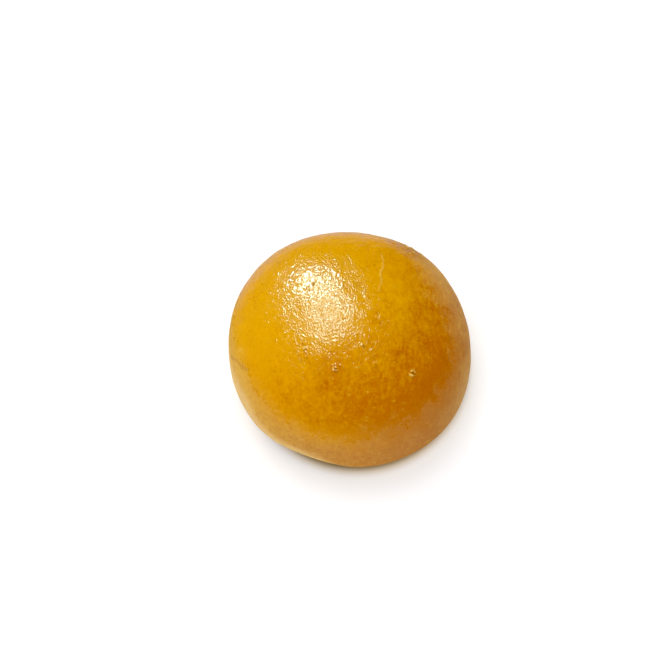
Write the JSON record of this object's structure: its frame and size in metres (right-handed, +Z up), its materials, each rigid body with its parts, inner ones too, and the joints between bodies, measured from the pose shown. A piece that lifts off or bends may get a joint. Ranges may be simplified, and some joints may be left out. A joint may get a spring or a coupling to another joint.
{
  "type": "potato slider roll",
  "caption": "Small round potato bread roll with a glossy golden domed crown, a pale matte side and a flat base, split and filled as a slider or eaten as a dinner roll.",
  "frame": {"origin": "middle of the flat base, on the surface the roll rests on", "axes": "+Z up through the crown, -Y towards the front of the roll, the side with the flattened stretch a little left of its middle, +X to the right seen from the front"},
  "size_m": [0.0744, 0.0739, 0.0422],
  "materials": {
    "crust": "satin"
  },
  "bodies": {
    "root": {"roll": "crust"}
  },
  "joints": []
}
